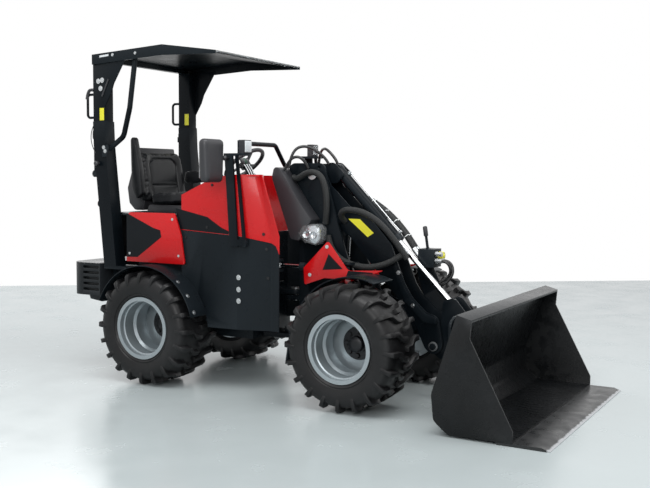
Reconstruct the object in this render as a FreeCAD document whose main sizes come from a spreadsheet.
"""Mini articulated wheel loader: a parametric FreeCAD document, one object for each piece.

Millimetres. +X points forward, +Y to the machine's left, +Z up. The origin lies on the ground
under the middle of the machine's length, on its centre plane.
"""
import FreeCAD
import Part
import Sketcher
import math
import os

V = FreeCAD.Vector

# ---------------------------------------------------------------- driving dimensions
DIMS = {
    "wheelbase": 1488,
    "rear_axle": -944,
    "wheel_radius": 380,
    "tyre_width": 380,
    "half_track": 500,
    "rim_radius": 190,
    "flange_radius": 207,
    "rim_width": 336,
    "rim_wall": 8,
    "disc_offset": -95,
    "hub_radius": 46,
    "lug_count": 20,
    "lug_height": 26,
    "lug_top": 375.547,
    "axle_radius": 55,
    "plate": 20,
    "sheet_wall": 12,
    "pivot_x": -150,
    "pivot_pin": 25,
    "lug_low": 300,
    "lug_high": 600,
    "lug_plate": 30,
    "wall_x": -345,
    "side_y": 500,
    "side_rear": -735,
    "corner_x": -4,
    "corner_y": 434,
    "recess_y": 200,
    "floor_z": 440,
    "cowl_fold": 1010,
    "cowl_top": 1398,
    "hood_y": 520,
    "hood_bottom": 805,
    "hood_top": 1140,
    "weight_end": -1720,
    "weight_half": 520,
    "weight_low": 547,
    "weight_high": 775,
    "tow_x": -1800,
    "tow_radius": 13,
    "post_y": 470,
    "post_wide": 100,
    "post_rear": -1490,
    "roof_z": 2188,
    "roof_ridge": 2250,
    "tower_y": 125,
    "eye_x": 60,
    "eye_z": 500,
    "eye_bore": 16,
    "boom_x": 56,
    "boom_z": 1400,
    "boom_half": 88,
    "hinge_x": 900,
    "hinge_z": 345,
    "ear_x": 985,
    "ear_z": 600,
    "tilt_x": 170,
    "tilt_z": 1437,
    "lift_x": 190,
    "lift_z": 520,
    "lift_arm": 330,
    "lift_angle": 60,
    "steer_x": 350,
    "steer_y": -215,
    "steer_z": 806,
    "bucket_half": 804,
    "bucket_tip": 1846,
    "bucket_wall": 10,
    "fender_gap": 28,
}


class Size:
    """A length with the sheet expression that gives it."""

    def __init__(self, value, text=None):
        self.value = float(value)
        self.text = text or repr(float(value))

    def _with(self, other, sign, value):
        other = size(other)
        return Size(value(self.value, other.value), f"({self.text} {sign} {other.text})")

    def __add__(self, other):
        return self._with(other, "+", lambda a, b: a + b)

    def __sub__(self, other):
        return self._with(other, "-", lambda a, b: a - b)

    def __mul__(self, other):
        return self._with(other, "*", lambda a, b: a * b)

    def __truediv__(self, other):
        return self._with(other, "/", lambda a, b: a / b)

    def __radd__(self, other):
        return size(other) + self

    def __rsub__(self, other):
        return size(other) - self

    def __rmul__(self, other):
        return size(other) * self

    def __neg__(self):
        return Size(0) - self


def size(value):
    return value if isinstance(value, Size) else Size(value)


doc = FreeCAD.newDocument("mini_wheel_loader")
sheet = doc.addObject("Spreadsheet::Sheet", "dims")
for row, (alias, number) in enumerate(DIMS.items(), start=1):
    sheet.set(f"A{row}", alias)
    sheet.set(f"B{row}", str(number))
    sheet.setAlias(f"B{row}", alias)
doc.recompute()


class Cells:
    """Reads a cell by its alias."""

    def __getattr__(self, alias):
        return Size(getattr(sheet, alias), f"dims.{alias}")


d = Cells()
front_axle = d.rear_axle + d.wheelbase
nodes = []


def bind(obj, name, value):
    """Ties a property to the sheet."""
    value = size(value)
    parts = name.split(".")
    if len(parts) == 1:
        setattr(obj, name, value.value)
    obj.setExpression(name, value.text)


def place(obj, x=0, y=0, z=0):
    """Sets an object's position, tied to the sheet."""
    values = [size(v) for v in (x, y, z)]
    obj.Placement = FreeCAD.Placement(V(*[v.value for v in values]), obj.Placement.Rotation)
    for axis, value in zip("xyz", values):
        if value.value or "dims" in value.text:
            obj.setExpression(f"Placement.Base.{axis}", value.text)
    return obj


def turn(obj, axis, degrees):
    """Turns an object about its own origin."""
    obj.Placement = FreeCAD.Placement(obj.Placement.Base, FreeCAD.Rotation(axis, degrees))
    return obj


def node(obj, label):
    """Marks an object as one of the machine's pieces."""
    obj.Label = label
    nodes.append(obj)
    return obj


# ---------------------------------------------------------------- sketches and solids
def plane_of(body, role):
    return next(f for f in body.Origin.OriginFeatures if f.Role == role)


def new_sketch(body, role):
    sketch = body.newObject("Sketcher::SketchObject", "outline")
    sketch.AttachmentSupport = [(plane_of(body, role), "")]
    sketch.MapMode = "FlatFace"
    return sketch


def lock(sketch, kind, geometry, position, value):
    """Adds one distance constraint from the sketch's origin, tied to the sheet."""
    number = sketch.addConstraint(
        Sketcher.Constraint(kind, -1, 1, geometry, position, value.value)
    )
    if "dims" in value.text:
        sketch.setExpression(f"Constraints[{number}]", value.text)


def draw(sketch, points):
    """Draws a closed outline through (u, v) points; (u, v, radius) rounds that corner."""
    corners = [(size(p[0]), size(p[1]), float(p[2]) if len(p) > 2 else 0.0) for p in points]
    count = len(corners)
    spots = [V(u.value, v.value, 0) for u, v, _ in corners]
    entry, leave = [], []
    for i in range(count):
        radius = corners[i][2]
        back = (spots[i - 1] - spots[i]).normalize()
        ahead = (spots[(i + 1) % count] - spots[i]).normalize()
        reach = radius / math.tan(back.getAngle(ahead) / 2) if radius else 0.0
        entry.append(spots[i] + back * reach)
        leave.append(spots[i] + ahead * reach)
    lines = [
        sketch.addGeometry(Part.LineSegment(leave[i], entry[(i + 1) % count]))
        for i in range(count)
    ]
    for i in range(count):
        before, after = lines[i - 1], lines[i]
        u, v, radius = corners[i]
        if not radius:
            sketch.addConstraint(Sketcher.Constraint("Coincident", before, 2, after, 1))
            lock(sketch, "DistanceX", after, 1, u)
            lock(sketch, "DistanceY", after, 1, v)
            continue
        back = (spots[i - 1] - spots[i]).normalize()
        ahead = (spots[(i + 1) % count] - spots[i]).normalize()
        middle = (back + ahead).normalize()
        half = back.getAngle(ahead) / 2
        centre = spots[i] + middle * (radius / math.sin(half))
        left = back.cross(ahead).z < 0
        first, last = (entry[i], leave[i]) if left else (leave[i], entry[i])
        start = math.atan2(first.y - centre.y, first.x - centre.x)
        stop = math.atan2(last.y - centre.y, last.x - centre.x)
        circle = Part.Circle(centre, V(0, 0, 1), radius)
        arc = sketch.addGeometry(Part.ArcOfCircle(circle, start, stop))
        ends = (1, 2) if left else (2, 1)
        mark = sketch.addGeometry(Part.Point(spots[i]), True)
        sketch.addConstraint(Sketcher.Constraint("PointOnObject", mark, 1, before))
        sketch.addConstraint(Sketcher.Constraint("PointOnObject", mark, 1, after))
        sketch.addConstraint(Sketcher.Constraint("Tangent", before, 2, arc, ends[0]))
        sketch.addConstraint(Sketcher.Constraint("Tangent", arc, ends[1], after, 1))
        sketch.addConstraint(Sketcher.Constraint("Radius", arc, radius))
        lock(sketch, "DistanceX", mark, 1, u)
        lock(sketch, "DistanceY", mark, 1, v)
    return sketch


def hole(sketch, u, v, radius):
    """Adds a round hole to a sketch."""
    u, v, radius = size(u), size(v), size(radius)
    ring = sketch.addGeometry(Part.Circle(V(u.value, v.value, 0), V(0, 0, 1), radius.value))
    number = sketch.addConstraint(Sketcher.Constraint("Radius", ring, radius.value))
    if "dims" in radius.text:
        sketch.setExpression(f"Constraints[{number}]", radius.text)
    lock(sketch, "DistanceX", ring, 3, u)
    lock(sketch, "DistanceY", ring, 3, v)


def prism(name, role, points, length, holes=(), windows=()):
    """A padded outline, its thickness centred on the origin plane named by role."""
    body = doc.addObject("PartDesign::Body", name)
    sketch = draw(new_sketch(body, role), points)
    for window in windows:
        draw(sketch, window)
    for u, v, radius in holes:
        hole(sketch, u, v, radius)
    pad = body.newObject("PartDesign::Pad", "thickness")
    pad.Profile = sketch
    pad.Midplane = True
    bind(pad, "Length", length)
    sketch.Visibility = False
    return body


def side(name, points, length, y=0, holes=(), windows=()):
    """A plate standing along the machine: outline in X and Z, thickness across."""
    return place(prism(name, "XZ_Plane", points, length, holes, windows), 0, y, 0)


def flat(name, points, length, z=0, holes=(), windows=()):
    """A level plate: outline in X and Y, its lower face at height z."""
    return place(prism(name, "XY_Plane", points, length, holes, windows), 0, 0,
                 size(z) + size(length) / 2)


def wall(name, points, length, x=0, holes=(), windows=()):
    """A plate standing across the machine: outline in Y and Z."""
    return place(prism(name, "YZ_Plane", points, length, holes, windows), x, 0, 0)


def turned(name, points):
    """A solid of revolution about the Y axis; points are (radius, y)."""
    body = doc.addObject("PartDesign::Body", name)
    sketch = draw(new_sketch(body, "XY_Plane"), points)
    revolution = body.newObject("PartDesign::Revolution", "revolution")
    revolution.Profile = sketch
    revolution.ReferenceAxis = (sketch, ["V_Axis"])
    revolution.Angle = 360
    sketch.Visibility = False
    return body


def block(name, x, y, z, corner_x, corner_y, corner_z):
    """A plain box from its lowest corner."""
    box = doc.addObject("Part::Box", name)
    bind(box, "Length", x)
    bind(box, "Width", y)
    bind(box, "Height", z)
    return place(box, corner_x, corner_y, corner_z)


AXES = {"x": FreeCAD.Rotation(V(0, 1, 0), 90), "y": FreeCAD.Rotation(V(1, 0, 0), -90),
        "z": FreeCAD.Rotation()}


def rod(name, radius, length, axis, x, y, z):
    """A round bar from (x, y, z) along an axis."""
    bar = doc.addObject("Part::Cylinder", name)
    bind(bar, "Radius", radius)
    bind(bar, "Height", length)
    bar.Placement = FreeCAD.Placement(V(), AXES[axis])
    return place(bar, x, y, z)


def joined(name, *objects):
    fuse = doc.addObject("Part::MultiFuse", name)
    fuse.Shapes = list(objects)
    fuse.Refine = True
    return fuse


def group(name, *objects):
    """Like pieces on one body that don't touch each other."""
    bundle = doc.addObject("Part::Compound", name)
    bundle.Links = list(objects)
    return bundle


def without(name, base, *tools):
    cut = doc.addObject("Part::Cut", name)
    cut.Base = base
    cut.Tool = tools[0] if len(tools) == 1 else joined(name + "_tools", *tools)
    cut.Refine = True
    return cut


def mirrored(name, source):
    """The same piece on the machine's other side."""
    copy = doc.addObject("Part::Mirroring", name)
    copy.Source = source
    copy.Normal = V(0, 1, 0)
    return copy


def pair(name, source):
    return group(name, source, mirrored(name + "_left", source))


def tube(name, points, radius, bend):
    """A round bar along straight runs joined by tangent arcs of one bend radius."""
    spots = [V(*[size(c).value for c in p]) for p in points]
    edges, start = [], spots[0]
    for before, corner, after in zip(spots, spots[1:], spots[2:]):
        back, ahead = (before - corner).normalize(), (after - corner).normalize()
        half = back.getAngle(ahead) / 2
        reach = bend / math.tan(half)
        first, last = corner + back * reach, corner + ahead * reach
        middle = (back + ahead).normalize()
        mid = corner + middle * (bend / math.sin(half) - bend)
        edges.append(Part.LineSegment(start, first).toShape())
        edges.append(Part.Arc(first, mid, last).toShape())
        start = last
    edges.append(Part.LineSegment(start, spots[-1]).toShape())
    path = Part.Wire(edges)
    ring = Part.Wire([Part.makeCircle(size(radius).value, spots[0], spots[1] - spots[0])])
    feature = doc.addObject("Part::Feature", name)
    feature.Shape = path.makePipeShell([ring], True, False)
    return feature


def arch(name, x, z, inner, outer, near, far, low, high):
    """Part of a ring about an axle, between two angles measured from forward up over the top."""
    rings = []
    for suffix, radius in (("_outer", outer), ("_inner", inner)):
        ring = doc.addObject("Part::Cylinder", name + suffix)
        bind(ring, "Radius", radius)
        bind(ring, "Height", size(far) - near)
        ring.Angle = high - low if suffix == "_outer" else 360
        ring.Placement = FreeCAD.Placement(V(), FreeCAD.Rotation(V(0, 1, 0), -high) * AXES["y"])
        rings.append(place(ring, x, near, z))
    return without(name, *rings)


def link(name, start, end, radius, eye, eye_width, axis="y", cap=0):
    """A bar from start to end with a round eye at its start, and a wider gland at its end."""
    a, b = [V(*[size(c).value for c in p]) for p in (start, end)]
    bar = doc.addObject("Part::Cylinder", name + "_bar")
    bar.Radius, bar.Height = radius, (b - a).Length
    bar.Placement = FreeCAD.Placement(a, FreeCAD.Rotation(V(0, 0, 1), b - a))
    parts = [bar, disc(name + "_eye", a, eye, eye_width, axis)]
    if cap:
        gland = doc.addObject("Part::Cylinder", name + "_gland")
        gland.Radius, gland.Height = radius + cap, 40
        gland.Placement = FreeCAD.Placement(b - (b - a).normalize() * 40, bar.Placement.Rotation)
        parts.append(gland)
    return joined(name, *parts)


def disc(name, centre, radius, width, axis="y"):
    """A round of some width, centred on a point, along an axis."""
    boss = doc.addObject("Part::Cylinder", name)
    boss.Radius, boss.Height = radius, width
    offset = V(0, width / 2, 0) if axis == "y" else V(0, 0, width / 2)
    boss.Placement = FreeCAD.Placement(V(*[size(c).value for c in centre]) - offset, AXES[axis])
    return boss


def along(start, end, distance):
    """The point a distance from start towards end."""
    a, b = [V(*[size(c).value for c in p]) for p in (start, end)]
    return tuple(a + (b - a).normalize() * distance)


# ---------------------------------------------------------------- wheels
def rim_profile():
    edge, well, wall_ = d.rim_width / 2, d.rim_radius - 22, d.rim_wall
    return [
        (d.flange_radius, -edge), (d.flange_radius, 9 - edge), (d.rim_radius, 14 - edge),
        (d.rim_radius, -70), (well, -50), (well, 30), (d.rim_radius, 50), (d.rim_radius, edge - 14),
        (d.flange_radius, edge - 9), (d.flange_radius, edge), (d.rim_radius - wall_, edge),
        (d.rim_radius - wall_, edge - 36), (d.rim_radius - wall_ * 2, edge - 40),
        (d.rim_radius - wall_ * 2, 46), (well - wall_, 30), (well - wall_, -52),
        (d.rim_radius - wall_, -72), (d.rim_radius - wall_, -edge),
    ]


def disc_profile():
    face = d.disc_offset
    return [(0, face - 12), (d.rim_radius - 8, face - 12), (d.rim_radius - 8, face), (104, face),
            (98, face + 10), (d.hub_radius, face + 10), (d.hub_radius, face + 46), (0, face + 46)]


def tyre_profile():
    r, w = d.wheel_radius - d.lug_height, d.tyre_width / 2
    return [
        (d.rim_radius + 0.5, 40 - w), (d.flange_radius + 1, 32 - w), (250, 6 - w), (300, 4 - w),
        (r - 20, 20 - w), (r, 60 - w), (r, w - 60), (r - 20, w - 20), (300, w - 4), (250, w - 6),
        (d.flange_radius + 1, w - 32), (d.rim_radius + 0.5, w - 40),
    ]


def tread(body, name, mirror_, turn_):
    """One row of lugs: each starts on the shoulder and leans inwards, repeated round the tyre."""
    r, w = d.wheel_radius, d.tyre_width / 2
    low = r - d.lug_height - 16
    plan = [(-20, 8 - w), (24, 8 - w), (22, 96 - w), (58, 136 - w), (54, 12), (20, 12), (18, 150 - w),
            (-20, 108 - w)]
    outline = new_sketch(body, "XY_Plane")
    outline.AttachmentOffset = FreeCAD.Placement(
        FreeCAD.Rotation(V(0, 1, 0), turn_).multVec(V(0, 0, low.value)),
        FreeCAD.Rotation(V(0, 1, 0), turn_))
    draw(outline, [(x, y * mirror_) for x, y in plan])
    pad = body.newObject("PartDesign::Pad", name)
    pad.Profile = outline
    bind(pad, "Length", d.lug_top - low)
    pattern = body.newObject("PartDesign::PolarPattern", name + "_row")
    pattern.Originals = [pad]
    pattern.Axis = (next(f for f in body.Origin.OriginFeatures if f.Role == "Y_Axis"), [""])
    pattern.Angle = 360
    pattern.Occurrences = int(d.lug_count.value)
    body.Tip = pattern
    outline.Visibility = False


def tyre_body(name):
    """A carcass with two rows of lugs half a pitch apart, their ends turned to the shoulder.

    lug_top is the height of a lug's flat crown, whose far corners then lie on wheel_radius.
    """
    body = turned(name, tyre_profile())
    tread(body, "lug_near", 1, 0)
    tread(body, "lug_far", -1, 180 / d.lug_count.value)
    r, w = d.wheel_radius, d.tyre_width / 2
    shoulder = new_sketch(body, "XY_Plane")
    for hand in (-1, 1):
        draw(shoulder, [(r + 8, (w + 4) * hand), (r + 8, (w - 44) * hand), (r - 4, (w - 44) * hand),
                        (r - 58, (w - 6) * hand), (r - 58, (w + 4) * hand)])
    cut = body.newObject("PartDesign::Groove", "shoulders")
    cut.Profile = shoulder
    cut.ReferenceAxis = (shoulder, ["V_Axis"])
    cut.Angle = 360
    body.Tip = cut
    shoulder.Visibility = False
    return body


def wheel(corner, axle_x, hand):
    """One rim and one tyre; hand is +1 on the left and -1 on the right."""
    rim = joined("rim_" + corner + "_solid", turned("rim_barrel_" + corner, rim_profile()),
                 turned("rim_disc_" + corner, disc_profile()))
    tyre = tyre_body("tyre_" + corner + "_solid")
    for label, piece in (("rim_" + corner, rim), ("tyre_" + corner, tyre)):
        if hand < 0:
            turn(piece, V(0, 0, 1), 180)
        node(place(piece, axle_x, d.half_track * hand, d.wheel_radius), label)


def axle(label, x, pad_y, pad_top):
    """A rigid axle beam with its differential, hub flanges and mounting pads."""
    z = d.wheel_radius
    end = d.half_track + d.disc_offset - 12.5
    beam = rod(label + "_beam", d.axle_radius, end * 2, "y", x, -end, z)
    case = rod(label + "_case", 95, 150, "y", x, -75, z)
    parts = [beam, case]
    for hand in (-1, 1):
        middle = end * hand
        flange = rod(f"{label}_flange{hand}", 84, 30, "y", x, middle - 15 - 15 * hand, z)
        pad = block(f"{label}_pad{hand}", 130, 60, pad_top - z, x - 65, size(pad_y) * hand - 30, z)
        parts += [flange, pad]
    return node(joined(label + "_solid", *parts), label)


for corner, axle_x, hand in (("rear_left", d.rear_axle, 1), ("rear_right", d.rear_axle, -1),
                             ("front_left", front_axle, 1), ("front_right", front_axle, -1)):
    wheel(corner, axle_x, hand)
axle("rear_axle", d.rear_axle, 205, size(440))
axle("front_axle", front_axle, d.tower_y, size(438))


# ---------------------------------------------------------------- rear frame
def rear_chassis():
    beam = [(-1440, 440), (-760, 440, 40), (-640, 300, 40), (d.wall_x - 10, 300), (d.wall_x - 10, 399),
            (-620, 399, 60), (-720, 520, 40), (-1000, 640, 40), (-1440, 640)]
    parts = [side("beam_right", beam, d.plate, -225), side("beam_left", beam, d.plate, 225)]
    parts.append(wall("hinge_wall", [(-235, 300), (235, 300), (235, 399), (164, 399), (164, 655),
                                     (-164, 655), (-164, 399), (-235, 399)], d.plate, d.wall_x - 10))
    lug = [(d.wall_x - 10, -110), (d.pivot_x - 60, -80, 10), (d.pivot_x + 70, -70, 69),
           (d.pivot_x + 70, 70, 69), (d.pivot_x - 60, 80, 10), (d.wall_x - 10, 110)]
    bore = [(d.pivot_x, 0, d.pivot_pin)]
    parts.append(flat("lug_low", lug, d.lug_plate, d.lug_low, bore))
    parts.append(flat("lug_high", lug, d.lug_plate, d.lug_high, bore))
    parts.append(block("cross_rear", 20, 450, 200, -1440, -225, 440))
    parts.append(block("cross_middle", 20, 450, 120, -1000, -225, 500))
    return node(joined("rear_chassis_solid", *parts), "rear_chassis")


def pivot_pins():
    pins = []
    for name, z in (("low", d.lug_low), ("high", d.lug_high - 50)):
        shank = rod(f"pin_{name}", d.pivot_pin, 84, "z", d.pivot_x, 0, z - 2)
        head = rod(f"pin_{name}_head", 36, 8, "z", d.pivot_x, 0, z - 10 if name == "low" else z + 80.5)
        pins.append(joined(f"pin_{name}_solid", shank, head))
    return node(group("pivot_pins_solid", *pins), "pivot_pins")


def counterweight():
    """A cast block with cooling slots in its sides, a foot below and a tow jaw behind."""
    half, rear = d.weight_half, d.weight_end
    core = flat("weight_core", [(rear, -half, 100), (-1440, -half), (-1440, half), (rear, half, 100)],
                d.weight_high - d.weight_low, d.weight_low)
    foot = side("weight_foot", [(-1560, d.weight_low + 1), (-1550, 519), (-1441, 505),
                                (-1441, d.weight_low + 1)], 1000)
    slots = []
    for hand in (-1, 1):
        for level in range(5):
            low = 581 + level * 39
            ends = [(-1598, low, 8.5), (-1450, low, 8.5), (-1450, low + 18, 8.5),
                    (-1598, low + 18, 8.5)]
            slots.append(side(f"weight_slot{hand}{level}", ends, 60, half * hand))
    jaw = [(rear + 20, -70), (-1846, -70, 69), (-1846, 70, 69), (rear + 20, 70)]
    bore = [(d.tow_x, 0, d.tow_radius)]
    plates = [flat(f"tow_plate{i}", jaw, 25, z, bore) for i, z in enumerate((560, 645))]
    return node(joined("counterweight_solid", without("weight", joined("weight_cast", core, foot), *slots),
                       *plates), "counterweight")


def engine_block():
    return node(block("engine", 530, 460, 420, -1340, -230, 640), "engine_block")


def hood_panels():
    outline = [(-1190, d.hood_bottom), (-691, d.hood_bottom, 12), (-722, 1000),
               (-774, d.hood_top, 15), (-1170, d.hood_top, 20)]
    return node(pair("hood_pair", side("hood_side", outline, d.sheet_wall, -d.hood_y)), "hood_panels")


def seat_box():
    """The black deck that carries the seat, with its front wall."""
    deck = flat("deck", [(-1401, -414), (-1232, -414), (-1232, -514), (-784, -514), (-784, 514),
                         (-1232, 514), (-1232, 414), (-1401, 414)], 14, 1118)
    front = wall("deck_front", [(-285, 452), (285, 452), (285, 1120), (-285, 1120)], 12, -790)
    slots = [block(f"deck_slot{hand}", 30, 30, 190, -805, 225 * hand - 15, 445) for hand in (-1, 1)]
    return node(joined("seat_box_solid", deck, without("deck_front_cut", front, *slots)), "seat_box")


def rear_grille():
    frame = wall("grille_frame", [(-410, 812), (410, 812), (410, 1118), (-410, 1118)], 14, -1408,
                 windows=[[(-385, 837), (385, 837), (385, 1092), (-385, 1092)]])
    slats = [block(f"slat{i}", 12, 774, 14, -1414, -387, 850 + i * 30) for i in range(8)]
    return node(joined("rear_grille_solid", frame, *slats), "rear_grille")


def rear_fenders():
    inner, outer = d.wheel_radius + d.fender_gap, d.wheel_radius + d.fender_gap + 8
    crown = arch("rear_crown", d.rear_axle, d.wheel_radius, inner, outer, -655, -287, 14, 158)
    return node(pair("rear_fender_pair", crown), "rear_fenders")


def across(right):
    """A closed plan from its right half, which runs forward."""
    return right + [(x, -y, *r) for x, y, *r in reversed(right)]


def plan_outline(inset):
    """The footwell and lower cowl from above: tapering sides, flared corners, a deep recess."""
    x, y = d.corner_x, d.corner_y
    if not inset:
        return across([(d.side_rear, -500), (-548, -495), (-300, -480, 80), (x - 81, 12 - y, 60),
                       (x, -y, 3), (-140, -345), (d.wall_x, -d.recess_y)])
    return across([(d.side_rear - 9, -488), (-548, -483), (-300, -468, 80), (x - 84, 24 - y, 60),
                   (x - 52, 20 - y, 2), (-147, -355), (d.wall_x - 12, -6 - d.recess_y)])


def top_outline(inset):
    """The cowl from above at its top, where its corners lean back."""
    x, y = -140, 436
    if not inset:
        return across([(d.side_rear, -500), (-548, -495), (-300, -480, 80), (x - 50, 14 - y, 60),
                       (x, -y, 3), (-190, -345), (d.wall_x, -d.recess_y)])
    return across([(d.side_rear - 9, -488), (-548, -483), (-300, -468, 80), (x - 56, 27 - y, 60),
                   (x - 22, 22 - y, 2), (-201, -350), (d.wall_x - 12, -6 - d.recess_y)])


def seam(drop, top):
    """The area above the joint between footwell and cowl, seen from the side."""
    line = [(-745, 1032), (-300, 1005), (-74, 962), (-40, 944), (-6, 878), (14, 826)]
    return [(x, z - drop) for x, z in line] + top


def footwell():
    z = 400
    shell = without("footwell_shell", flat("footwell_outer", plan_outline(False), 640, z),
                    flat("footwell_inner", plan_outline(True), 650, z - 5))
    above = side("footwell_top", seam(1, [(14, 1060), (-745, 1060)]), 1100)
    arches = rod("footwell_arch", d.wheel_radius + d.fender_gap + 8, 1100, "y", d.rear_axle, -550,
                 d.wheel_radius)
    behind = block("footwell_behind", 200, 1100, 150, -748, -550, z - 5)
    window = block("hinge_window", 60, 330, 270, d.wall_x - 20.2, -165, z - 5)
    entry = block("entry", 300, 100, 540, -548, 420, 462)
    floor_plan = across([(-548, -489), (-300, -474, 80), (-87, -417), (-30, -421), (-143, -350),
                         (d.wall_x - 6, -203)])
    parts = [without("footwell_walls", shell, entry, above, arches, behind),
             flat("footwell_floor", floor_plan, 12, d.floor_z),
             flat("footwell_back", [(-796, -213), (-548, -213), (-548, 213), (-796, 213)], 12, d.floor_z)]
    for number, z_ear in enumerate((d.steer_z - 41, d.steer_z + 25)):
        ear = [(-345, -300), (-300, -245), (d.pivot_x - 20, -262, 30), (d.pivot_x + 30, -250, 28),
               (d.pivot_x + 30, -190, 28), (-357, -190)]
        parts.append(flat(f"steer_ear{number}", ear, 16, z_ear))
    return node(without("footwell_solid", joined("footwell_joined", *parts), window), "footwell")


def lofted(name, low, low_z, high, high_z):
    """A straight-sided solid between two level outlines with the same corners."""
    wires = []
    for suffix, points, z in (("_low", low, low_z), ("_high", high, high_z)):
        sketch = doc.addObject("Sketcher::SketchObject", name + suffix)
        sketch.Placement = FreeCAD.Placement(V(0, 0, z), FreeCAD.Rotation())
        wires.append(draw(sketch, points))
    loft = doc.addObject("Part::Loft", name)
    loft.Sections = wires
    loft.Solid = True
    loft.Ruled = True
    return loft


def cowl():
    """Side walls that go on up from the footwell, their front corners leaning back."""
    fold, top = d.cowl_fold.value, 1400
    ring = without("cowl_ring", flat("cowl_outer", plan_outline(False), fold - 820, 820),
                   flat("cowl_inner", plan_outline(True), fold - 810, 815))
    lean = without("cowl_lean", lofted("cowl_lean_out", plan_outline(False), fold, top_outline(False), top),
                   lofted("cowl_lean_in", plan_outline(True), fold, top_outline(True), top))
    profile = side("cowl_profile", seam(-1, [(14, d.cowl_top), (-282, d.cowl_top, 60), (-467, 1383, 60),
                                             (-805, 1232)]), 1100)
    shell = doc.addObject("Part::Common", "cowl_shell")
    shell.Base, shell.Tool = joined("cowl_walls", ring, lean), profile
    entry = block("cowl_entry", 510, 130, 430, -760, 400, 990)
    cap = flat("cowl_cap", [(-420, -300), (-352, -196), (-352, 196), (-420, 300)], 12, 1370)
    ear = [(-362, -222), (-362, -474), (-300, -470, 60), (-196, -440), (-166, -430), (-203, -352)]
    tops = pair("cowl_tops", flat("cowl_ear_top", ear, 12, 1386))
    return node(joined("cowl_solid", without("cowl_open", shell, entry), cap, tops), "cowl")


# ---------------------------------------------------------------- operator's place
def console():
    """Dash column with the steering column rising from it."""
    column = side("console_column", [(-480, 452), (-372, 452), (-372, 1368), (-450, 1368, 20),
                                     (-505, 1250, 30)], 220)
    shaft = link("steer_shaft", (-430, 0, 1300), (-560, 0, 1452), 22, 30, 60)
    return node(joined("console_solid", column, shaft), "console")


def steering_wheel():
    ring = doc.addObject("Part::Torus", "wheel_ring")
    ring.Radius1, ring.Radius2 = 150, 14
    hub = doc.addObject("Part::Cylinder", "wheel_hub")
    hub.Radius, hub.Height = 38, 36
    place(hub, 0, 0, -24)
    spokes = [turn(block(f"spoke{i}", 145, 22, 10, 0, 0, -8), V(0, 0, 1), 90 + 120 * i)
              for i in range(3)]
    wheel_ = joined("steering_wheel_solid", ring, hub, *spokes)
    wheel_.Placement = FreeCAD.Placement(V(-576, 0, 1471), FreeCAD.Rotation(V(0, 1, 0), -40.5))
    return node(wheel_, "steering_wheel")


def seat():
    base = side("seat_rails", [(-1290, 1132), (-860, 1132), (-880, 1180, 20), (-1270, 1180, 20)], 380)
    node(base, "seat_base")
    cushion = side("cushion", [(-1255, 1181), (-850, 1181, 30), (-840, 1270, 40), (-1235, 1240, 20)], 490)
    node(cushion, "seat_cushion")
    back = side("back_pad", [(-1238, 1250), (-1288, 1565, 40), (-1355, 1590, 30), (-1335, 1200, 30),
                             (-1260, 1183)], 490)
    node(back, "seat_back")
    arm = side("armrest_up", [(-1320, 1300, 20), (-1345, 1630, 30), (-1270, 1650, 30),
                              (-1250, 1310, 20)], 56, -273.2)
    other = side("armrest_down", [(-1310, 1330, 20), (-1305, 1395, 30), (-960, 1425, 25),
                                  (-950, 1375, 20)], 56, 273.2)
    node(group("seat_armrests_solid", arm, other), "seat_armrests")


# ---------------------------------------------------------------- roll bar and roof
post_bodies = {}


def post(hand, label):
    """One roll bar post: the leaning lower box, the upright upper box and the roof gusset."""
    lower = side(label + "_lower", [(-1398, 750), (-1289, 750), (-1378, 1600), (-1384, 1760),
                                    (-1488, 1760), (-1484, 1600)], d.post_wide, d.post_y * hand)
    upper = side(label + "_upper", [(d.post_rear, 1700), (-1386, 1700), (-1386, d.roof_z - 10),
                                    (d.post_rear, d.roof_z - 10)], 84, d.post_y * hand)
    gusset = side(label + "_gusset", [(d.post_rear, 1960), (-1386, 1860), (-1330, 1950), (-1305, 2015),
                                      (-1213, 2156), (-1205, d.roof_z), (d.post_rear, d.roof_z)],
                  10, (d.post_y + 37) * hand)
    foot = side(label + "_foot", [(-1420, 600), (-1302, 600), (-1235, 752), (-1420, 752)],
                20, 395 * hand)
    bracket = block(label + "_bracket", 118, 170, 40, -1420, 235 if hand > 0 else -405, 600)
    tie = block(label + "_tie", 200, 130, 22, -1400, 390 if hand > 0 else -520, 742)
    post_bodies[label] = joined(label + "_solid", lower, upper, gusset, foot, bracket, tie)
    return node(post_bodies[label], label)


def roof():
    rear = d.post_rear
    top = [(rear, d.roof_z + 30), (-874, d.roof_ridge), (-444, d.roof_z), (-444, d.roof_z - 22),
           (-874, d.roof_ridge - 70), (rear, d.roof_z - 38)]
    rails = [side(f"roof_rail{hand}", top, 10, 517.2 * hand) for hand in (-1, 1)]
    sheet_ = side("roof_sheet", [(rear, d.roof_z + 30), (-874, d.roof_ridge), (-560, 2205),
                                 (-560, 2195), (-874, d.roof_ridge - 10), (rear, d.roof_z + 20)], 1030)
    bar = block("roof_bar", 40, 1000, 40, rear, -500, d.roof_z - 10)
    post_bodies["roof"] = joined("roof_frame_solid", sheet_, bar, *rails)
    node(post_bodies["roof"], "roof_frame")
    visor = side("visor_sheet", [(-559.8, 2205), (-444, 2188), (-444, 2180), (-559.8, 2196)], 1024)
    node(visor, "roof_visor")


rear_chassis()
pivot_pins()
counterweight()
engine_block()
hood_panels()
seat_box()
rear_grille()
rear_fenders()
footwell_body = footwell()
cowl()
console()
steering_wheel()
seat()
post(-1, "post_right")
post(1, "post_left")
roof()


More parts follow.
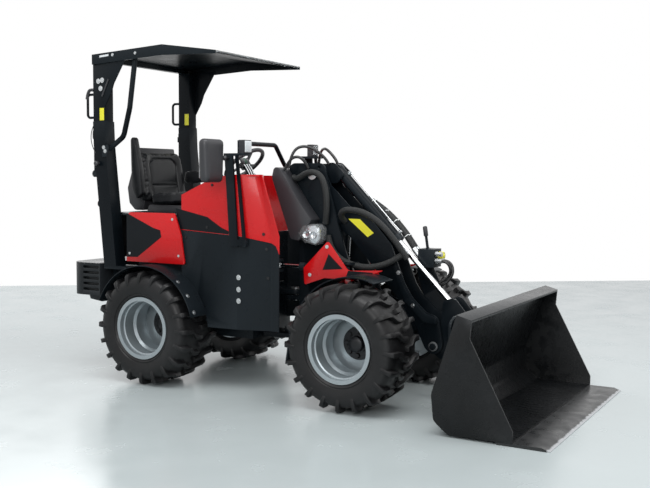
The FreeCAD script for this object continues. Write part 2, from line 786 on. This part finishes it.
# ---------------------------------------------------------------- fittings of the rear body
def side_tube():
    """The handrail from the roof rail down to the right post."""
    path = [(-1140, -470, d.roof_z + 38), (-1198, -470, 1848), (-1255, -470, 1655), (-1400, -470, 1560)]
    pipe = tube("side_tube_pipe", path, 18, 70)
    ends = (post_bodies["post_right"], post_bodies["roof"])
    return node(without("side_tube_solid", pipe, *ends), "side_tube")


def post_fittings(hand, label):
    """Grab handle, gas strut and lamp on the back of one post."""
    y, rear = d.post_y * hand, d.post_rear
    handle = tube(label + "_handle", [(rear - 0.2, y, 1950), (rear - 91, y, 1950), (rear - 91, y, 1790),
                                      (rear - 0.2, y, 1790)], 9, 24)
    strut = link(label + "_strut", (-1510, y, 1400), (-1510, y, 1690), 14, 24, 30, cap=8)
    clevis_low = block(label + "_clevis_low", 95, 50, 26, -1510, y - 25, 1387)
    clevis_high = block(label + "_clevis_high", 46, 50, 26, -1510, y - 25, 1690)
    lamp_ = rod(label + "_lamp", 26, 60, "x", -1476, y, 1191)
    fittings = joined(label + "_joined", handle, strut, clevis_low, clevis_high, lamp_)
    return node(without(label + "_solid", fittings, post_bodies[f"post_{label[14:]}"]), label)


def rails():
    """A wide and a narrow guard bar at each front corner of the cowl, and the hoop between them."""
    for hand, label in ((-1, "rail_right"), (1, "rail_left")):
        bars = [side(label + "_wide", [(-345, 940), (-283, 940), (-323, 1530), (-385, 1530)],
                     14, 497 * hand),
                side(label + "_narrow", [(-242, 940), (-222, 940), (-284, 1530), (-304, 1530)],
                     14, 497 * hand)]
        foot = (block(label + "_foot", 123, 32, 40, -345, -504, 945) if hand < 0 else
                block(label + "_foot", 130, 46, 40, -345, 458, 945))
        head = block(label + "_head", 154, 84, 16, -390, 420 if hand > 0 else -504, 1517)
        lower = without(label + "_lower", joined(label + "_joined", *bars, foot), footwell_body)
        parts = [lower, head]
        if hand < 0:
            hoop = tube("hoop", [(-310, -424, 1598), (-310, -20, 1598), (-325, 110, 1480),
                                 (-345, 270, 1360)], 15, 60)
            level = block("hoop_end", 140, 200, 100, -400, 180, d.cowl_top - 100)
            parts += [block("hoop_bracket", 40, 16, 84, -330, -436, 1533),
                      without("hoop_cut", hoop, level)]
        node(joined(label + "_solid", *parts), label)


def work_lamps():
    lamps = [block(f"work_lamp{hand}", 40, 80, 84, x, 460 * hand - 40, 1533)
             for hand, x in ((-1, -276), (1, -318))]
    return node(group("work_lamps_solid", *lamps), "work_lamps")


def mirror():
    glass = wall("mirror_shell", [(-750, 1345, 50), (-570, 1345, 50), (-555, 1620, 50),
                                  (-765, 1620, 50)], 70, -370)
    arm = rod("mirror_arm", 9, 85.9, "y", -352, -590, 1500)
    return node(joined("mirror_solid", glass, arm), "mirror")


side_tube()
post_fittings(-1, "post_fittings_right")
post_fittings(1, "post_fittings_left")
rails()
work_lamps()
mirror()


# ---------------------------------------------------------------- front frame
def tower(hand, label):
    """One side plate of the tower; the right one carries the steering cylinder's ears and pin."""
    plate = [(-45, 300), (430, 300, 20), (475, 438), (640, 438), (640, 560, 30), (430, 640, 60),
             (300, 900, 120), (165, 1330, 60), (140, 1475, 50), (-125, 1475, 45), (-125, 1320, 60),
             (-45, 1150, 80)]
    bore = [(d.boom_x, d.boom_z, 25), (d.lift_x, d.lift_z, 17.5), (102, 1448, 11),
            (d.eye_x, d.eye_z, d.eye_bore)]
    parts = [side(label + "_plate", plate, d.plate, d.tower_y * hand, bore)]
    if hand < 0:
        for level, rise in enumerate((-40, 26)):
            ear = [(300, -134), (400, -134), (385, -240, 24), (315, -240, 24)]
            parts.append(flat(f"barrel_ear{level}", ear, 14, d.steer_z + rise))
        parts.append(rod("barrel_pin", 10, 80, "z", d.steer_x, d.steer_y, d.steer_z - 40))
        return node(joined(label + "_solid", *parts), label)
    return node(parts[0], label)


def front_chassis():
    """The hinge tongues and the cross members between the tower's plates."""
    half = d.tower_y - d.plate / 2
    back = [(-20, -half), (d.pivot_x + 40, -80, 20), (d.pivot_x - 72, -72, 71),
            (d.pivot_x - 72, 72, 71), (d.pivot_x + 40, 80, 20), (-20, half)]
    hinge = [(d.pivot_x, 0, d.pivot_pin + 0.5)]
    parts = [flat("tongue_low", back + [(258, half), (258, -half)], 30, 338, hinge),
             flat("tongue_high", back + [(134, half), (134, -half)], 30, 562, hinge)]
    for label, x, low, high in (("tower_web", 126, 340, 590), ("tower_cross", 262, 300, 480),
                                ("tower_front", 630, 440, 558)):
        parts.append(wall(label, [(-half, low), (half, low), (half, high), (-half, high)], 16, x))
    parts.append(rod("tower_tie", 24, half * 2, "y", 40, -half, 1000))
    return node(joined("front_chassis_solid", *parts), "front_chassis")


def boom_pins():
    pin = rod("boom_pin", 25, 290, "y", d.boom_x, -145, d.boom_z)
    low = rod("lift_pin", 17.5, 290, "y", d.lift_x, -145, d.lift_z)
    return node(group("tower_pins_solid", pin, low), "tower_pins")


def tower_covers():
    cover = side("tower_cover", [(-188, 1380, 50), (-170, 1455, 25), (-130, 1440, 40), (28, 1213),
                                 (110, 1112), (20, 974, 20), (-42, 985, 20)], 114, -193)
    node(pair("tower_cover_pair", cover), "tower_covers")
    return cover


def headlamps(cover):
    """Round lamps whose narrow backs go into the covers."""
    bowl = turned("headlamp_bowl", [(0, 0), (50, 0), (55, 6), (55, 26), (36, 108), (0, 108)])
    bowl = place(turn(bowl, V(0, 0, 1), 90), 152, -192, 1042)
    return node(pair("headlamp_pair", without("headlamp", bowl, cover)), "headlamps")


def front_fenders():
    inner, outer = d.wheel_radius + d.fender_gap - 3, d.wheel_radius + d.fender_gap + 5
    crown = arch("front_crown", front_axle, d.wheel_radius, inner, outer, -520, -260.2, 68, 138)
    tail = arch("front_tail", front_axle, d.wheel_radius, inner, outer, -520, -345, 136, 171)
    flap = side("mudflap", [(126, 490), (144, 490), (140, 445), (98, 225), (86, 225)], 90, -475)
    return node(pair("front_fender_pair", joined("front_fender", crown, tail, flap)), "front_fenders")


def fender_panels():
    outline = [(62, 802, 10), (69, 693, 10), (217, 745, 60), (440, 744, 40), (641, 815, 3),
               (386, 800, 40), (241, 982, 15)]
    plate = side("fender_panel", outline, 8, -256)
    step = side("fender_panel_step", [(300, 715), (370, 715), (350, 762), (300, 762)], 123, -196.5)
    return node(pair("fender_panel_pair", joined("fender_panel_right", plate, step)), "fender_panels")


# ---------------------------------------------------------------- boom
boom_bodies = {}


def boom():
    """Two bent side plates on a sleeve, with a floor between them and guards at the nose."""
    plate = [(-8, 1462, 45), (100, 1462, 45), (165, 1330, 40), (307, 1195, 80), (470, 1105, 100),
             (602, 960, 80), (644, 851, 60), (700, 715, 60), (752, 636, 50), (849, 548, 60),
             (925, 528, 50), (962, 345, 60), (900, 275, 50), (838, 330, 50), (770, 470, 100),
             (640, 640, 100), (300, 1010, 60), (200, 1070, 34), (120, 1190, 60), (0, 1330, 45)]
    bore = [(d.boom_x, d.boom_z, 25), (d.hinge_x, d.hinge_z, 20.5)]
    y = d.boom_half - 6
    parts = [side(f"boom_plate{hand}", plate, 12, y * hand, bore) for hand in (-1, 1)]
    parts.append(side("boom_floor", [(300, 1011), (640, 643), (655, 625), (664, 633), (648, 652),
                                     (306, 1022)], y * 2))
    parts.append(side("boom_heel", [(60, 1262), (98, 1216), (108, 1224), (70, 1270)], y * 2))
    parts.append(rod("boom_sleeve", 43, y * 2 + 12, "y", d.boom_x, -(y + 6), d.boom_z))
    near = [(606, 938, 10), (636, 851, 40), (692, 709, 40), (742, 634, 40), (846, 541, 50),
            (920, 522, 20), (924, 478, 20), (830, 492, 50), (702, 612, 50), (596, 880, 10)]
    far = [(700, 800, 20), (740, 842, 10), (800, 842, 20), (874, 698, 40), (935, 606, 40),
           (976, 507, 30), (900, 470, 30), (760, 610, 40)]
    parts += [side("boom_guard_near", near, 10, -93), side("boom_guard_far", far, 10, 93)]
    ear = [(50, 1345, 20), (95, 1470, 40), (165, 1482, 40), (250, 1405, 30), (190, 1345, 30)]
    for hand in (-1, 1):
        parts.append(side(f"tilt_ear{hand}", ear, 12, 51 * hand))
        eye = (d.boom_x + 165, 91 * hand, d.boom_z - 286)
        parts.append(disc(f"lift_boss{hand}", eye, 32, 18))
    parts.append(rod("tilt_pin", 16, 114, "y", d.tilt_x, -57, d.tilt_z))
    bored = without("boom_bored", joined("boom_joined", *parts),
                    rod("boom_bore", 25.2, 300, "y", d.boom_x, -150, d.boom_z))
    boom_bodies["boom"] = bored
    return node(bored, "boom")


def cylinders():
    """Lift, tilt and steering cylinders at rest, each a barrel and a sliding rod."""
    arm, angle = d.lift_arm.value, math.radians(d.lift_angle.value)
    lift_low = (d.lift_x, 0, d.lift_z)
    lift_high = (d.boom_x + arm * math.cos(angle), 0, d.boom_z - arm * math.sin(angle))
    tilt_low, tilt_high = (d.tilt_x, 0, d.tilt_z), (d.ear_x, 0, d.ear_z)
    steer_low = (d.steer_x, d.steer_y, d.steer_z)
    steer_high = (d.pivot_x, -220, d.steer_z)
    for label, low, high, radius, reach, tail, bar, eye, axis in (
            ("lift", lift_low, lift_high, 36, 525, 55, 20, 34, "y"),
            ("tilt", tilt_low, tilt_high, 36, 640, 245, 18, 34, "y"),
            ("steer", steer_low, steer_high, 22, 335, 175, 12, 24, "z")):
        width = 30 if axis == "z" else 60
        barrel = link(label + "_barrel_solid", low, along(low, high, reach), radius, eye, width, axis, 4)
        length = (V(*[size(c).value for c in high]) - V(*[size(c).value for c in low])).Length
        bore = doc.addObject("Part::Cylinder", label + "_bore")
        bore.Radius, bore.Height = bar + 1, reach
        start = along(low, high, radius + 10)
        heading = V(*[size(c).value for c in high]) - V(*start)
        bore.Placement = FreeCAD.Placement(V(*start), FreeCAD.Rotation(V(0, 0, 1), heading))
        pin = {"lift": 18, "tilt": 16.5, "steer": 10.5}[label]
        eye_bore = disc(label + "_eye_bore", low, pin, width + 60, axis)
        node(without(label + "_cylinder", barrel, bore, eye_bore), label + "_barrel")
        inner = along(high, low, length - tail)
        node(link(label + "_rod_solid", high, inner, bar, eye, width, axis), label + "_rod")


def hoses():
    """The pair of lines that rides on a saddle on the boom, as far as the couplers."""
    route = [(300, 1255), (400, 1215), (500, 1150), (600, 1050), (690, 935), (735, 880)]
    tubes = [tube(f"hose{y}", [(x, y, z) for x, z in route], 15, 150) for y in (62, 94)]
    saddle = block("hose_saddle", 40, 52, 175, 460, 46, 1010)
    lines = joined("boom_hoses_joined", *tubes, saddle)
    return node(without("boom_hoses_solid", lines, boom_bodies["boom"], boom_bodies["coupler"]),
                "boom_hoses")


def coupler():
    body = block("coupler_body", 110, 116, 115, 735, 26, 820)
    lever = link("coupler_lever", (770, 100, 930), (750, 100, 1060), 9, 12, 20)
    cap = rod("coupler_cap", 26, 30, "x", 845, 112, 890)
    boom_bodies["coupler"] = without("coupler_solid", joined("coupler_joined", body, lever, cap),
                                     boom_bodies["boom"])
    return node(boom_bodies["coupler"], "coupler")


# ---------------------------------------------------------------- bucket and its carrier
def tool_carrier():
    ear = [(852, 330, 45), (900, 285, 40), (1130, 140, 20), (1150, 140), (1150, 500, 40),
           (1020, 650, 40), (945, 630, 38), (935, 480, 60)]
    parts = []
    for hand in (-1, 1):
        holes = [(d.hinge_x, d.hinge_z, 20)]
        parts.append(side(f"carrier_ear{hand}", ear, 12, 54 * hand, holes))
        face = wall(f"carrier_face{hand}", [(48 * hand, 120), (290 * hand, 120, 30), (470 * hand, 330, 60),
                                            (470 * hand, 560, 40),
                                            (400 * hand, 590, 40), (110 * hand, 590, 20),
                                            (110 * hand, 380), (48 * hand, 380)], 16, 1158)
        parts.append(face)
        rib = side(f"carrier_rib{hand}", [(1151, 130), (1151, 575), (1090, 560, 30), (1110, 150, 20)],
                   12, 270 * hand)
        parts.append(rib)
    parts.append(rod("carrier_tube", 26, 560, "y", 1131, -280, 190))
    parts.append(rod("carrier_pin", 20, 230, "y", d.hinge_x, -115, d.hinge_z))
    return node(joined("tool_carrier_solid", *parts), "tool_carrier")


def bucket():
    outside = [(1190, 222, 60), (1204, 80, 50), (1288, 13, 50), (1647, 13), (1647, 79), (1405, 540),
               (1414, 640), (1330, 663)]
    inside = [(1201, 224, 55), (1215, 86, 45), (1292, 24, 45), (1900, 24), (1900, 626), (1416, 626),
              (1338, 648)]
    half = d.bucket_half
    shell = without("bucket_shell", side("bucket_outside", outside, half * 2),
                    side("bucket_inside", inside, half * 2 - d.bucket_wall * 2))
    parts = [shell]
    for hand in (-1, 1):
        parts.append(side(f"bucket_hook{hand}", [(1166, 140), (1200, 140), (1195, 222), (1316, 640),
                                                 (1290, 640), (1166, 560)], 14, 390 * hand))
    return node(joined("bucket_solid", *parts), "bucket")


def cutting_edge():
    outline = [(1560, 0), (d.bucket_tip, 0), (d.bucket_tip, 4), (1800, 18), (1648, 18), (1648, 12.9),
               (1560, 12.9)]
    return node(side("edge_bar", outline, d.bucket_half * 2), "cutting_edge")


front_chassis()
tower(-1, "tower_right")
tower(1, "tower_left")
boom_pins()
headlamps(tower_covers())
front_fenders()
fender_panels()
boom()
cylinders()
coupler()
hoses()
tool_carrier()
bucket()
cutting_edge()


# ---------------------------------------------------------------- check and write
def write_parts():
    doc.recompute()
    for obj in doc.Objects:
        bad = [state for state in obj.State if state in ("Invalid", "Error")]
        if bad:
            raise RuntimeError(f"{obj.Name} is {bad}")
    os.makedirs("parts", exist_ok=True)
    for piece in nodes:
        shape = piece.Shape
        if shape.isNull() or not shape.isValid() or shape.Volume <= 0:
            raise RuntimeError(f"{piece.Label} has no valid solid")
        shape.exportStep(f"parts/{piece.Label}.step")
        print(f"{piece.Label}: {len(shape.Solids)} solid(s), {shape.Volume / 1e6:.2f} litres")


write_parts()
